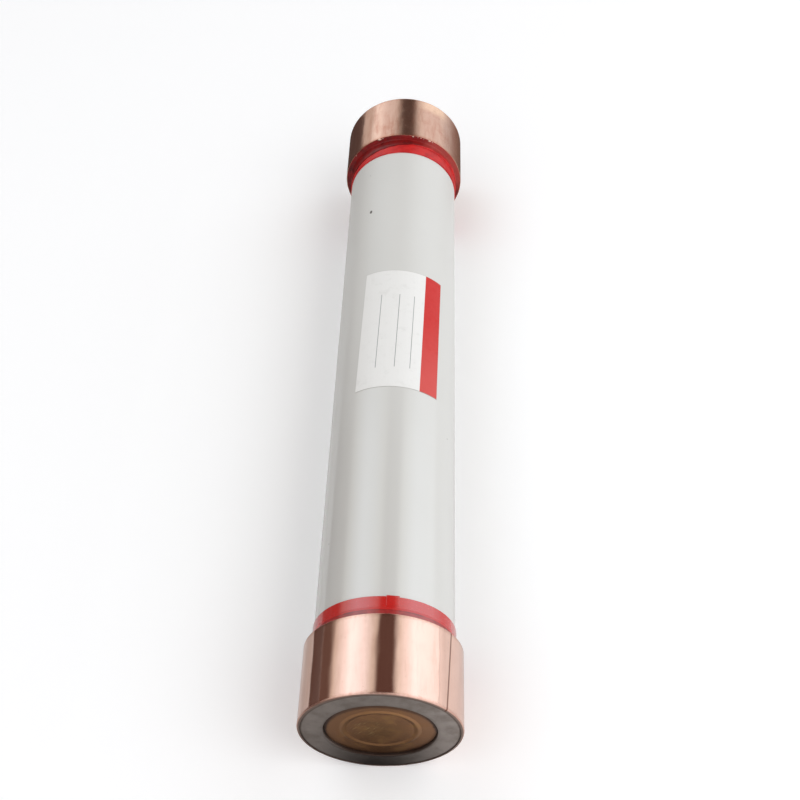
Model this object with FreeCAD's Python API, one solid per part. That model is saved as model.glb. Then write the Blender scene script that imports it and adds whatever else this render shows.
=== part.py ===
"""Sand-filled current-limiting fuse with copper end caps, for spring clips.

The fuse lies along Y with its middle at the origin and +Z up. Its near end, at -Y, has a plain
cover, and its far end, at +Y, carries the blown-fuse indicator. Sizes are in millimetres. A depth
is measured along the axis, from the plane of an end towards the middle.
"""
import FreeCAD
import Part

import math
import os

Vector = FreeCAD.Vector

# Outside of the fuse
overall_length = 310.0
cap_diameter = 55.0
cap_length = 28.5
cap_wall = 1.0
cement_thickness = 2.0
cap_edge_round = 0.7
cap_mouth_round = 0.3
tube_wall = 6.5

# Clearances
fit_gap = 0.05
running_gap = 0.1
slack_gap = 0.2

# Stack inside each cap, from the end plane inwards
ring_inset = 0.15
ring_thickness = 2.05
ring_width = 7.7
ring_edge_round = 0.25
cover_thickness = 1.2
cover_seat_width = 3.8
cover_bead_margin = 6.4
cover_bead_width = 2.4
cover_bead_height = 0.35
web_thickness = 1.5
gasket_thickness = 1.5
gasket_width = 7.5
star_thickness = 1.0
star_fill_holes = 6
star_fill_hole_diameter = 3.6

# Red seal at the mouth of each cap
seal_depth = 1.2
seal_bead_length = 3.6
seal_bead_toe = 0.55
near_band_width = 4.3
far_band_width = 6.0
band_thickness = 0.45
band_edge_round = 0.15

# Ribbed winding core, and the sand round it
sand_cover = 5.4
rib_count = 6
rib_thickness = 2.2
socket_wall = 1.45
core_bore_diameter = 3.0
notch_width = 2.4
notch_depth = 1.9
rib_root_overlap = 1.0

# Fuse elements, wound side by side from rib to rib
element_count = 3
element_wire_diameter = 0.8
element_pitch = 30.0
element_turns = 8
tin_bead_diameter = 2.6

# Blown-fuse indicator
indicator_travel = 12.0
guide_diameter = 10.0
guide_wall = 0.8
guide_flange_diameter = 15.0
guide_flange_thickness = 0.7
guide_lip_thickness = 1.0
guide_floor_thickness = 1.0
nose_diameter = 6.2
nose_round = 0.8
nose_inset = 0.2
shoulder_thickness = 2.0
stem_diameter = 2.0
stem_overrun = 1.0
spring_wire_diameter = 0.6
spring_turns = 5
spring_length = 14.6
trip_wire_diameter = 0.5
anchor_diameter = 3.6
anchor_length = 1.4

# Label on the tube, stuck on a little crooked
label_width = 34.3
label_length = 64.5
label_thickness = 0.12
label_middle = 5.9
label_angle = 9.4
label_lean = 1.6

# Sizes that follow
half_length = overall_length / 2
cap_radius = cap_diameter / 2
cap_inner_radius = cap_radius - cap_wall
tube_radius = cap_inner_radius - cement_thickness
bore_radius = tube_radius - tube_wall
ring_hole_radius = cap_inner_radius - ring_width
cover_bead_radius = ring_hole_radius - cover_bead_margin
web_hole_radius = ring_hole_radius - cover_seat_width
gasket_hole_radius = cap_inner_radius - gasket_width
web_depth = ring_inset + ring_thickness
gasket_depth = web_depth + web_thickness
star_depth = gasket_depth + gasket_thickness
tube_depth = star_depth + star_thickness
cover_depth = web_depth - cover_thickness
guide_radius = guide_diameter / 2
guide_bore_radius = guide_radius - guide_wall
hub_radius = guide_radius + fit_gap + socket_wall
rib_tip_radius = bore_radius - sand_cover
star_fill_circle_radius = rib_tip_radius + sand_cover / 2
element_radius = element_wire_diameter / 2
rib_angle = 360.0 / rib_count
half_rib_angle = math.radians(rib_angle / 2)
rib_step = element_pitch / rib_count
notch_floor_radius = rib_tip_radius - notch_depth
bend_height = notch_floor_radius + fit_gap + element_radius
bend_offset = rib_thickness / 2 + (fit_gap + element_radius) * math.tan(half_rib_angle / 2)
bend_radius = math.hypot(bend_height, bend_offset)
bend_angle = math.atan2(bend_offset, bend_height)
chord_radius = bend_radius * math.cos(half_rib_angle - bend_angle)
chord_half_length = bend_radius * math.sin(half_rib_angle - bend_angle)
bend_rise = rib_step / 2 * bend_offset / (bend_offset + chord_half_length)
core_half_length = half_length - tube_depth
winding_start = -element_pitch * element_turns / 2
guide_mouth_depth = cover_depth - guide_flange_thickness
nose_depth = guide_mouth_depth + nose_inset
shoulder_depth = guide_mouth_depth + guide_lip_thickness + indicator_travel + running_gap
spring_depth = shoulder_depth + shoulder_thickness
guide_floor_depth = spring_depth + spring_length
guide_end_depth = guide_floor_depth + guide_floor_thickness
stem_end_depth = guide_end_depth + indicator_travel + stem_overrun

NEAR = -1
FAR = 1
AXIS = Vector(0, 1, 0)
ORIGIN = Vector(0, 0, 0)


def station(end, depth):
    """Y of a plane at a depth below one end of the fuse."""
    return end * (half_length - depth)


def rounded_wire(corners):
    """Closed wire in the XY plane through (x, y, round) corners, each round a tangent arc."""
    count = len(corners)
    stops = []
    for i, (x, y, radius) in enumerate(corners):
        corner = Vector(x, y, 0)
        if radius <= 0:
            stops.append((corner, None, corner))
            continue
        before = Vector(*corners[i - 1][:2], 0) - corner
        after = Vector(*corners[(i + 1) % count][:2], 0) - corner
        before.normalize()
        after.normalize()
        half_angle = before.getAngle(after) / 2
        reach = radius / math.tan(half_angle)
        inward = before + after
        inward.normalize()
        centre = corner + inward * (radius / math.sin(half_angle))
        middle = centre - inward * radius
        stops.append((corner + before * reach, middle, corner + after * reach))
    edges = []
    for i, (start, middle, end) in enumerate(stops):
        if middle is not None:
            edges.append(Part.Arc(start, middle, end).toShape())
        following = stops[(i + 1) % count][0]
        if end.distanceToPoint(following) > 1e-6:
            edges.append(Part.LineSegment(end, following).toShape())
    return Part.Wire(edges)


def solid_of(shape):
    """The one solid in a shape, or a compound of its solids, each with its faces outwards."""
    solids = []
    for solid in shape.Solids:
        if solid.Volume < 0:
            solid = solid.reversed()
        solids.append(solid)
    return solids[0] if len(solids) == 1 else Part.makeCompound(solids)


def turned(end, corners):
    """Solid turned about the fuse's axis from (radius, depth, round) corners at one end."""
    profile = rounded_wire([(radius, station(end, depth), edge) for radius, depth, edge in corners])
    return solid_of(Part.Face(profile).revolve(ORIGIN, AXIS, 360))


def sleeve(inner, outer, low, high):
    """Plain round sleeve, or a disc when inner is zero, between two Y stations."""
    corners = [(inner, low, 0), (outer, low, 0), (outer, high, 0), (inner, high, 0)]
    return solid_of(Part.Face(rounded_wire(corners)).revolve(ORIGIN, AXIS, 360))


def end_sleeve(end, inner, outer, depth, thickness):
    """Sleeve that starts at a depth below one end and runs inwards."""
    low, high = sorted((station(end, depth), station(end, depth + thickness)))
    return sleeve(inner, outer, low, high)


def on_circle(radius, degrees, y):
    """Point at a radius and an angle about the axis, counted from +Z towards +X."""
    angle = math.radians(degrees)
    return Vector(radius * math.sin(angle), y, radius * math.cos(angle))


def wire_along(points, radius):
    """Round wire that runs straight from point to point."""
    path = Part.makePolygon(points)
    section = Part.Wire([Part.makeCircle(radius, points[0], points[1] - points[0])])
    return solid_of(path.makePipeShell([section], True, False, 1))


def ceramic_tube():
    """Glazed insulating tube between the two contact stars."""
    return sleeve(bore_radius, tube_radius, station(NEAR, tube_depth), station(FAR, tube_depth))


def cap(end):
    """Copper contact cap: a thin ferrule with an inner web that carries the end ring and cover."""
    return turned(end, [
        (cap_radius, 0, cap_edge_round),
        (cap_radius, cap_length, cap_mouth_round),
        (cap_inner_radius, cap_length, 0),
        (cap_inner_radius, gasket_depth, 0),
        (web_hole_radius, gasket_depth, 0),
        (web_hole_radius, web_depth, 0),
        (cap_inner_radius, web_depth, 0),
        (cap_inner_radius, 0, 0),
    ])


def end_ring(end):
    """Tinned ring that closes the end of the cap round the cover."""
    outer = cap_inner_radius - fit_gap
    return turned(end, [
        (ring_hole_radius, ring_inset, ring_edge_round),
        (outer, ring_inset, ring_edge_round),
        (outer, web_depth, 0),
        (ring_hole_radius, web_depth, 0),
    ])


def cover(end):
    """Brass closing disc with a pressed bead; the far one is bored for the indicator guide."""
    outer = ring_hole_radius - fit_gap
    half_bead = cover_bead_width / 2
    hole = guide_radius + fit_gap if end == FAR else 0
    return turned(end, [
        (hole, cover_depth, 0),
        (cover_bead_radius - half_bead, cover_depth, 0),
        (cover_bead_radius, cover_depth - cover_bead_height, half_bead),
        (cover_bead_radius + half_bead, cover_depth, 0),
        (outer, cover_depth, ring_edge_round),
        (outer, web_depth, 0),
        (hole, web_depth, 0),
    ])


def gasket(end):
    """Rubber washer squeezed between the cap's web and the contact star."""
    outer = cap_inner_radius - fit_gap
    return end_sleeve(end, gasket_hole_radius, outer, gasket_depth, gasket_thickness)


def pad(end):
    """Felt pad inside the gasket, which keeps the sand from the cover."""
    hole = (guide_diameter if end == FAR else anchor_diameter) / 2 + fit_gap
    outer = gasket_hole_radius - fit_gap
    return end_sleeve(end, hole, outer, gasket_depth, gasket_thickness)


def contact_star(end):
    """Brass disc that joins the fuse elements to the cap, with holes for filling the sand."""
    hole = guide_radius + fit_gap if end == FAR else trip_wire_diameter / 2 + fit_gap
    disc = end_sleeve(end, hole, cap_inner_radius - fit_gap, star_depth, star_thickness)
    low = min(station(end, star_depth), station(end, tube_depth))
    drills = []
    for i in range(star_fill_holes):
        angle = (i + 0.5) * 360.0 / star_fill_holes
        foot = on_circle(star_fill_circle_radius, angle, low)
        drills.append(Part.makeCylinder(star_fill_hole_diameter / 2, star_thickness, foot, AXIS))
    return solid_of(disc.cut(drills))


def cement(end):
    """Cement that bonds the cap to the tube."""
    length = cap_length - seal_depth - tube_depth
    return end_sleeve(end, tube_radius, cap_inner_radius, tube_depth, length)


def seal_bead(end):
    """Red sealing compound that fills the mouth of the cap, covers its edge and runs out onto the tube."""
    lip_radius = cap_radius - cap_mouth_round
    toe_radius = tube_radius + seal_bead_toe
    toe_depth = cap_length + seal_bead_length
    return turned(end, [
        (tube_radius, cap_length - seal_depth, 0),
        (cap_inner_radius, cap_length - seal_depth, 0),
        (cap_inner_radius, cap_length, 0),
        (lip_radius, cap_length, 0),
        (toe_radius, cap_length + seal_bead_toe, seal_bead_toe),
        (toe_radius, toe_depth, band_edge_round),
        (tube_radius, toe_depth, 0),
    ])


def red_band(end):
    """Red band round the tube, against the sealing bead."""
    low = cap_length + seal_bead_length
    high = low + (near_band_width if end == NEAR else far_band_width)
    outer = tube_radius + band_thickness
    return turned(end, [
        (tube_radius, low, 0),
        (outer, low, band_edge_round),
        (outer, high, band_edge_round),
        (tube_radius, high, 0),
    ])


def bends_of_element(number):
    """(rib number, Y) of each notch that one fuse element is bent over."""
    first_rib = number * rib_count // element_count
    bends = range(rib_count * element_turns + 1)
    return [(first_rib + bend, winding_start + bend * rib_step) for bend in bends]


def notch_stations(rib):
    """Y of every notch on one rib, over all the elements."""
    found = []
    for number in range(element_count):
        found += [y for bend_rib, y in bends_of_element(number) if bend_rib % rib_count == rib]
    return sorted(found)


def core_rib(rib):
    """One notched rib of the winding core."""
    root = hub_radius - rib_root_overlap
    outline = [(root, -core_half_length), (rib_tip_radius, -core_half_length)]
    for y in notch_stations(rib):
        low, high = y - notch_width / 2, y + notch_width / 2
        outline += [(rib_tip_radius, low), (notch_floor_radius, low)]
        outline += [(notch_floor_radius, high), (rib_tip_radius, high)]
    outline += [(rib_tip_radius, core_half_length), (root, core_half_length)]
    points = [Vector(-rib_thickness / 2, y, radius) for radius, y in outline]
    plate = Part.Face(Part.makePolygon(points + points[:1])).extrude(Vector(rib_thickness, 0, 0))
    plate.rotate(ORIGIN, AXIS, rib * rib_angle)
    return plate


def winding_core():
    """Ribbed ceramic core: a bored hub with notched ribs, and a socket for the indicator guide."""
    core = sleeve(0, hub_radius, -core_half_length, core_half_length)
    core = core.fuse([core_rib(rib) for rib in range(rib_count)])
    bore = sleeve(0, core_bore_diameter / 2, -core_half_length, core_half_length)
    socket_low = station(FAR, guide_end_depth + slack_gap)
    socket = sleeve(0, guide_radius + fit_gap, socket_low, core_half_length)
    return solid_of(core.cut([bore, socket]).removeSplitter())


def element_path(number):
    """Points that one fuse element passes: a lead, two bends over each rib, and a lead."""
    bends = bends_of_element(number)
    turn = math.degrees(bend_angle)
    lead_in = (bends[0][0] - 0.5) * rib_angle
    lead_out = (bends[-1][0] + 0.5) * rib_angle
    points = [on_circle(chord_radius, lead_in, -core_half_length)]
    points.append(on_circle(chord_radius, lead_in, bends[0][1] - rib_step / 2))
    for rib, y in bends:
        points.append(on_circle(bend_radius, rib * rib_angle - turn, y - bend_rise))
        points.append(on_circle(bend_radius, rib * rib_angle + turn, y + bend_rise))
    points.append(on_circle(chord_radius, lead_out, bends[-1][1] + rib_step / 2))
    points.append(on_circle(chord_radius, lead_out, core_half_length))
    return points


def fuse_element(number):
    """Silvered copper wire, bent over the ribs from contact star to contact star."""
    return wire_along(element_path(number), element_radius)


def middle_run(number):
    """Both ends of an element's straight run past its middle rib, which carries its tin bead."""
    points = element_path(number)
    start = len(points) // 2
    return points[start], points[start + 1]


def tin_beads():
    """A bead of tin soldered round the middle of each element, which starts the melting."""
    beads = []
    for number in range(element_count):
        start, end = middle_run(number)
        along = end - start
        bead = Part.makeSphere(tin_bead_diameter / 2, (start + end) * 0.5)
        hole = Part.makeCylinder(element_radius, along.Length, start, along)
        beads.append(solid_of(bead.cut(hole)))
    return Part.makeCompound(beads)


def sand_filler(sector):
    """Sand packed between two ribs, under the wires, with a hollow for each tin bead."""
    outer = chord_radius - element_radius - slack_gap
    inner = hub_radius + fit_gap

    def half_width(distance):
        flank = (rib_thickness / 2 + fit_gap) / math.cos(half_rib_angle)
        return distance * math.tan(half_rib_angle) - flank

    outline = [(-half_width(inner), inner), (half_width(inner), inner)]
    outline += [(half_width(outer), outer), (-half_width(outer), outer)]
    points = [Vector(x, -core_half_length, z) for x, z in outline]
    prism = Part.Face(Part.makePolygon(points + points[:1]))
    prism = prism.extrude(AXIS * (2 * core_half_length))
    prism.rotate(ORIGIN, AXIS, (sector + 0.5) * rib_angle)
    hollows = []
    for number in range(element_count):
        start, end = middle_run(number)
        hollows.append(Part.makeSphere(tin_bead_diameter / 2 + slack_gap, (start + end) * 0.5))
    return solid_of(prism.cut(hollows))


def quartz_sand():
    """Quartz sand: a sleeve outside the winding, and the packing between the ribs."""
    outer = bore_radius - fit_gap
    shell = sleeve(rib_tip_radius + fit_gap, outer, -core_half_length, core_half_length)
    return Part.makeCompound([shell] + [sand_filler(sector) for sector in range(rib_count)])


def indicator_guide():
    """Brass barrel of the indicator: flange outside the cover, lip, and a bored floor."""
    nose_hole = nose_diameter / 2 + running_gap
    stem_hole = stem_diameter / 2 + running_gap
    lip_depth = guide_mouth_depth + guide_lip_thickness
    return turned(FAR, [
        (nose_hole, guide_mouth_depth, 0),
        (guide_flange_diameter / 2, guide_mouth_depth, ring_edge_round),
        (guide_flange_diameter / 2, cover_depth, 0),
        (guide_radius, cover_depth, 0),
        (guide_radius, guide_end_depth, 0),
        (stem_hole, guide_end_depth, 0),
        (stem_hole, guide_floor_depth, 0),
        (guide_bore_radius, guide_floor_depth, 0),
        (guide_bore_radius, lip_depth, 0),
        (nose_hole, lip_depth, 0),
    ])


def indicator_pin():
    """Indicator: a nose that shows when it pops out, a shoulder for the spring, and a stem."""
    shoulder_radius = guide_bore_radius - running_gap
    return turned(FAR, [
        (0, nose_depth, 0),
        (nose_diameter / 2, nose_depth, nose_round),
        (nose_diameter / 2, shoulder_depth, 0),
        (shoulder_radius, shoulder_depth, 0),
        (shoulder_radius, spring_depth, 0),
        (stem_diameter / 2, spring_depth, 0),
        (stem_diameter / 2, stem_end_depth, 0),
        (0, stem_end_depth, 0),
    ])


def indicator_spring():
    """Compression spring between the pin's shoulder and the guide's floor."""
    wire_radius = spring_wire_diameter / 2
    coil_radius = guide_bore_radius - slack_gap - wire_radius
    rise = spring_length - 2 * wire_radius - 2 * fit_gap
    low = station(FAR, guide_floor_depth) + wire_radius + fit_gap
    helix = Part.makeHelix(rise / spring_turns, rise, coil_radius)
    helix.rotate(ORIGIN, Vector(1, 0, 0), -90)
    helix.translate(Vector(0, low, 0))
    start = helix.Edges[0].firstVertex().Point
    tangent = helix.Edges[0].tangentAt(helix.Edges[0].FirstParameter)
    section = Part.Wire([Part.makeCircle(wire_radius, start, tangent)])
    return solid_of(Part.Wire(helix.Edges).makePipeShell([section], True, True))


def wire_anchor():
    """Crimp on the near contact star that holds the trip wire."""
    hole = trip_wire_diameter / 2
    return end_sleeve(NEAR, hole, anchor_diameter / 2, star_depth - anchor_length, anchor_length)


def indicator_wire():
    """Steel trip wire through the core, from the anchor to the indicator's stem."""
    low = station(NEAR, star_depth - anchor_length)
    return sleeve(0, trip_wire_diameter / 2, low, station(FAR, stem_end_depth))


def label():
    """Thin blank label round the front of the tube, stuck on a little crooked."""
    shell = sleeve(
        tube_radius,
        tube_radius + label_thickness,
        label_middle - label_length,
        label_middle + label_length,
    )
    lean = math.radians(label_lean)
    points = []
    for across, along in ((-1, -1), (1, -1), (1, 1), (-1, 1)):
        sideways, lengthways = across * label_width / 2, along * label_length / 2
        wrapped = (sideways * math.cos(lean) + lengthways * math.sin(lean)) / tube_radius
        y = label_middle + lengthways * math.cos(lean) - sideways * math.sin(lean)
        points.append(Vector(tube_radius * math.sin(wrapped), y, 0))
    prism = Part.Face(Part.makePolygon(points + points[:1])).extrude(Vector(0, 0, cap_radius))
    prism.rotate(ORIGIN, AXIS, label_angle)
    return solid_of(shell.common(prism))


def build():
    """All the pieces, by node name."""
    pieces = {
        "ceramic_tube": ceramic_tube(),
        "winding_core": winding_core(),
        "tin_beads": tin_beads(),
        "quartz_sand": quartz_sand(),
        "indicator_guide": indicator_guide(),
        "indicator_pin": indicator_pin(),
        "indicator_spring": indicator_spring(),
        "indicator_wire": indicator_wire(),
        "wire_anchor": wire_anchor(),
        "label": label(),
    }
    for number in range(element_count):
        pieces[f"fuse_element_{number + 1}"] = fuse_element(number)
    for name, end in (("near", NEAR), ("far", FAR)):
        for make in (cap, end_ring, cover, gasket, pad, contact_star, cement, seal_bead, red_band):
            pieces[f"{name}_{make.__name__}"] = make(end)
    return pieces


os.makedirs("parts", exist_ok=True)
for node, piece in build().items():
    print(node, "solids", len(piece.Solids), "volume mm3", round(piece.Volume, 2), "valid", piece.isValid())
    piece.exportStep(f"parts/{node}.step")
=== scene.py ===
# %% [markdown]
# # A current-limiting fuse, dressed for its portrait
#
# The solids of the fuse come from its CAD model, at their real size, with the fuse lying along Y
# and its label upwards. This lesson gives them their finishes: polished and tarnished copper,
# a satin glaze, red enamel, a paper label. It adds the small things that a maker's hand leaves,
# such as beads of solder, and then lights the fuse and sets up the camera.

# %% Load the frame
import bpy
import math
from mathutils import Matrix, Vector


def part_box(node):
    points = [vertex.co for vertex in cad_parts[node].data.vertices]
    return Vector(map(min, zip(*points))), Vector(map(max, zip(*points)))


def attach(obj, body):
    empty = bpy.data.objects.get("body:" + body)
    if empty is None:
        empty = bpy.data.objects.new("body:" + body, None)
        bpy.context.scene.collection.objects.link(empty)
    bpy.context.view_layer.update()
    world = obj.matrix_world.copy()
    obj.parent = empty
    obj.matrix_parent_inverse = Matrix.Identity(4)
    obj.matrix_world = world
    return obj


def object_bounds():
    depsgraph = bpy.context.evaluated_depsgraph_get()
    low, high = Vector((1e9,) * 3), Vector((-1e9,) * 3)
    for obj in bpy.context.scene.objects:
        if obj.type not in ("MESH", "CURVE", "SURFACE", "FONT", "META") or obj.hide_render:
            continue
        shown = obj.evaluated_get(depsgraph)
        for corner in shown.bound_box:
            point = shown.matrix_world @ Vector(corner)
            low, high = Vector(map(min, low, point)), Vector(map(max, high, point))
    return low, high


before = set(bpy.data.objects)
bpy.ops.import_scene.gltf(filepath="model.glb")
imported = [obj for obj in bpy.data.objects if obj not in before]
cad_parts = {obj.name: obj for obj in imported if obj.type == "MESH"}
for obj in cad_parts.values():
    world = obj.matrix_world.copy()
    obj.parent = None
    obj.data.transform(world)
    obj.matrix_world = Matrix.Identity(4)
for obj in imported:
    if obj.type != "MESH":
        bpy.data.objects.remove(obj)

cad_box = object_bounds()


def rounded(box):
    """The two corners of a box, rounded for printing."""
    return [tuple(round(v, 4) for v in corner) for corner in box]


print("nodes", len(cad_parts), "CAD box", rounded(cad_box))

# %% [markdown]
# ## Sizes
#
# The finishes are placed from the boxes of the CAD nodes, so they follow the model. Scratches,
# specks and grain are about a millimetre in size, so the lengths of this lesson are in
# millimetres, and its angles in degrees, apart from the lamp, the floor and the camera's lens.
# Blender works in metres, and a length times `MM` is in metres.

# %% Sizes read from the frame
MM = 0.001
near_end, near_mouth = [corner.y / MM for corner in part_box("near_cap")]
far_mouth, far_end = [corner.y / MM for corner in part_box("far_cap")]
cap_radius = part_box("far_cap")[1].x / MM
tube_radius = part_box("ceramic_tube")[1].x / MM
cap_arc = math.radians(1) * cap_radius
tube_arc = math.radians(1) * tube_radius
floor_level = cad_box[0].z
print("cap radius", round(cap_radius, 2), "tube radius", round(tube_radius, 2))
print("one degree is", round(cap_arc, 2), "mm round a cap")

# %% [markdown]
# ## Camera
#
# The photograph looks down on the near end from in front. A long axis in strong perspective
# shows its camera well: the two ends differ in size as their distances do, and the roundness of
# each rim tells how steeply it is seen. The camera is placed there, turned to its aim, and then
# rolled a little about its own axis, as a hand-held camera was. Aiming it in the script is
# steadier than a constraint, because other views move the same camera.

# %% Place the camera
camera_place = Vector((37.5, -319.6, 360.0)) * MM
camera_aim = Vector((2.3, -12.3, 0.0)) * MM
camera_roll = math.radians(-6.4)
camera_lens = 52.6
camera_sensor = 36.0
nearest_seen = 20.0

bpy.ops.object.camera_add(location=camera_place)
camera = bpy.context.object
camera.name = "camera"
camera.data.lens = camera_lens
camera.data.sensor_width = camera_sensor
camera.data.clip_start = nearest_seen * MM
turn = (camera_aim - camera_place).to_track_quat("-Z", "Y").to_matrix()
camera.rotation_euler = (turn @ Matrix.Rotation(camera_roll, 3, "Z")).to_euler()
bpy.context.scene.camera = camera
bpy.context.scene.view_settings.view_transform = "Standard"
print("camera is", round((camera_aim - camera_place).length, 3), "m from its aim")

# %% [markdown]
# ## Writing shaders as sums
#
# A finish is easier to read as a formula than as a web of nodes. `Value` wraps one socket, and
# adding or multiplying two of them adds the Math node. Nodes could be placed one by one in the
# shader editor instead, but a change to a formula is one line here and a hunt for a wire there.

# %% One socket of a shader
class Value:
    """One socket of a shader, which adds Math nodes when it is used in a sum."""

    def __init__(self, shader, socket):
        self.shader = shader
        self.socket = socket

    def __add__(self, other):
        return self.shader.maths("ADD", self, other)

    def __sub__(self, other):
        return self.shader.maths("SUBTRACT", self, other)

    def __rsub__(self, other):
        return self.shader.maths("SUBTRACT", other, self)

    def __mul__(self, other):
        return self.shader.maths("MULTIPLY", self, other)

    def __truediv__(self, other):
        return self.shader.maths("DIVIDE", self, other)

    def __rtruediv__(self, other):
        return self.shader.maths("DIVIDE", other, self)

    __radd__ = __add__
    __rmul__ = __mul__


print("sockets can be used in sums, with + - * /")

# %% [markdown]
# Every other node comes from `Shader.add`, which takes the node's type, its settings, and then
# what goes into its sockets. Most finishes are made of masks. A mask is a number from 0 to 1 at
# each point, such as the noise that is left above a threshold, and `layers` lays one colour over
# another through it.

# %% The nodes of a shader
class Shader:
    """The nodes of one material or of the world."""

    # A Mix node has sockets for numbers, vectors and colours. These are the colours' places.
    first_colour, second_colour, mixed_colour = 6, 7, 2

    def __init__(self, tree):
        self.tree = tree
        tree.nodes.clear()

    def add(self, kind, settings=None, inputs=None, output=0):
        """A node of one kind, with its settings made first and then its sockets filled."""
        node = self.tree.nodes.new(kind)
        for name, setting in (settings or {}).items():
            if name == "stops":
                self.place_stops(node.color_ramp, setting)
            else:
                setattr(node, name, setting)
        for name, given in (inputs or {}).items():
            if isinstance(given, Value):
                self.tree.links.new(given.socket, node.inputs[name])
            else:
                node.inputs[name].default_value = given
        return Value(self, node.outputs[output]) if node.outputs else None

    def place_stops(self, ramp, stops):
        """Gives a ramp its stops, each a place and a colour."""
        while len(ramp.elements) < len(stops):
            ramp.elements.new(1.0)
        for element, (place, light) in zip(ramp.elements, stops):
            element.position = place
            element.color = (*light, 1.0)

    def maths(self, operation, first, second=0.0):
        return self.add("ShaderNodeMath", {"operation": operation}, {0: first, 1: second})

    def clamped(self, value):
        return self.add("ShaderNodeClamp", inputs={"Value": value})

    def distance(self, across, along):
        """How far away a point is that lies so far across and so far along."""
        return self.maths("SQRT", across * across + along * along)

    def vector(self, x, y, z):
        return self.add("ShaderNodeCombineXYZ", inputs={0: x, 1: y, 2: z})

    def parts(self, vector):
        """The x, y and z of a vector."""
        whole = self.add("ShaderNodeSeparateXYZ", inputs={0: vector})
        return [Value(self, socket) for socket in whole.socket.node.outputs]

    def noise(self, vector, scale, detail=3.0, roughness=0.5):
        inputs = {"Vector": vector, "Scale": scale, "Detail": detail, "Roughness": roughness}
        return self.add("ShaderNodeTexNoise", inputs=inputs)

    def step(self, value, low, high):
        """A mask that rises smoothly from 0 at low to 1 at high."""
        settings = {"interpolation_type": "SMOOTHSTEP"}
        inputs = {"Value": value, "From Min": low, "From Max": high}
        return self.add("ShaderNodeMapRange", settings, inputs)

    def near(self, value, middle, half_width, soft):
        """A mask that is 1 round the middle, and falls to 0 about half_width away from it."""
        away = self.maths("ABSOLUTE", value - middle)
        return 1 - self.step(away, half_width - soft, half_width + soft)

    def mix(self, factor, first, second):
        """A colour between two, by a factor."""
        inputs = {"Factor": factor, self.first_colour: first, self.second_colour: second}
        return self.add("ShaderNodeMix", {"data_type": "RGBA"}, inputs, self.mixed_colour)

    def layers(self, tint, *layers):
        """A colour with others laid over it in turn, each through its mask."""
        for mask, over in layers:
            tint = self.mix(mask, tint, over)
        return tint

    def bump(self, height, distance, under=None):
        """A relief whose height from 0 to 1 stands for a distance, over another relief."""
        inputs = {"Height": height, "Distance": distance}
        if under:
            inputs["Normal"] = under
        return self.add("ShaderNodeBump", inputs=inputs)

    def surface(self, **sockets):
        """The Principled shader, with sockets named in words joined by underscores."""
        inputs = {name.replace("_", " "): given for name, given in sockets.items()}
        shading = self.add("ShaderNodeBsdfPrincipled", inputs=inputs)
        self.add("ShaderNodeOutputMaterial", inputs={"Surface": shading})


print("a shader can", ", ".join(name for name in vars(Shader) if name.isalpha()))

# %% [markdown]
# Colours are written as a screen shows them, from 0 to 255, because that is how they are read
# off a photograph. A shader takes linear light, so `colour` undoes the screen's curve.

# %% Screen colours
def colour(red, green, blue):
    """A screen colour, given as 0 to 255, as the linear light that a shader takes."""
    shares = [value / 255 for value in (red, green, blue)]
    light = [s / 12.92 if s <= 0.04045 else ((s + 0.055) / 1.055) ** 2.4 for s in shares]
    return (*light, 1.0)


print("a mid grey is", round(colour(128, 128, 128)[0], 3), "in linear light")

# %% [markdown]
# Almost every piece is turned about the fuse's axis, so its finish follows that axis too. `Round`
# gives a shader the place of a point as a distance along the axis, a radius and an angle, in
# millimetres and degrees. The angle is 0 at the top of the tube and grows towards +X. Flat
# coordinates would draw straight lines across a round end. `wrapped` stretches a noise round the
# axis, out from it or along it, which draws lathe rings, brush strokes and streaks.

# %% Coordinates about the axis
class Round:
    """Where a point lies about the fuse's axis: x, y, z and radius in mm, angle in degrees."""

    def __init__(self, shader):
        self.shader = shader
        place = shader.add("ShaderNodeTexCoord", output="Object")
        self.x, self.y, self.z = [part * (1 / MM) for part in shader.parts(place)]
        self.radius = shader.distance(self.x, self.z)
        self.angle = shader.maths("ARCTAN2", self.x, self.z) * math.degrees(1)
        self.point = shader.vector(self.x, self.y, self.z)

    def wrapped(self, round_scale, along_scale, out_scale):
        """The point with its three directions stretched, on a closed circle round the axis."""
        share = round_scale / self.radius
        along = self.y * along_scale + self.radius * out_scale
        return self.shader.vector(self.x * share, along, self.z * share)


def new_finish(name):
    """A new material, its shader and its coordinates."""
    material = bpy.data.materials.new(name)
    material.use_nodes = True
    shader = Shader(material.node_tree)
    return material, shader, Round(shader)


def give(material, *nodes):
    """Puts a finish on CAD nodes."""
    for node in nodes:
        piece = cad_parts[node]
        for slot in piece.material_slots:
            slot.material = material
        if not piece.material_slots:
            piece.data.materials.append(material)
    print(material.name, "on", ", ".join(nodes))


print("angle 0 is up, and 90 is towards +X")

# %% [markdown]
# ## Copper caps
#
# The caps are rolled copper, turned and polished. Polished metal has hardly a colour of its own
# to show: it shows the room. What makes it metal is how the reflection breaks up: fine marks
# that run round the cap, long shallow waves from the rolling, fingerprints, and a brown tarnish
# that starts at the edges. The near cap is bright, and the far one is duller and more brushed.
#
# Use leaves marks too. A clip has scored a thin dark line along the near cap, and a patch of the
# far cap has slanted scratches in it. A painted highlight brightens that patch too. The line and
# the scratches are far too shallow to be cut into the shape, so each is a mask.

# %% Marks on the copper
end_tarnish = (0.6, 2.4)
mouth_tarnish = (0.5, 2.6)
rim_width = 0.45
rim_depth = (0.9, 1.3)
score_angle = 57.4
score_lean = 0.17
score_width = 0.75
score_soft = 0.25
# The patch of the far cap with a painted highlight and the slanted scratches.
highlight_angle = 36.0
highlight_width = 14.0
highlight_soft = 9.0
highlight_reach = 8.0
scratch_slant = 0.7


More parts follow.
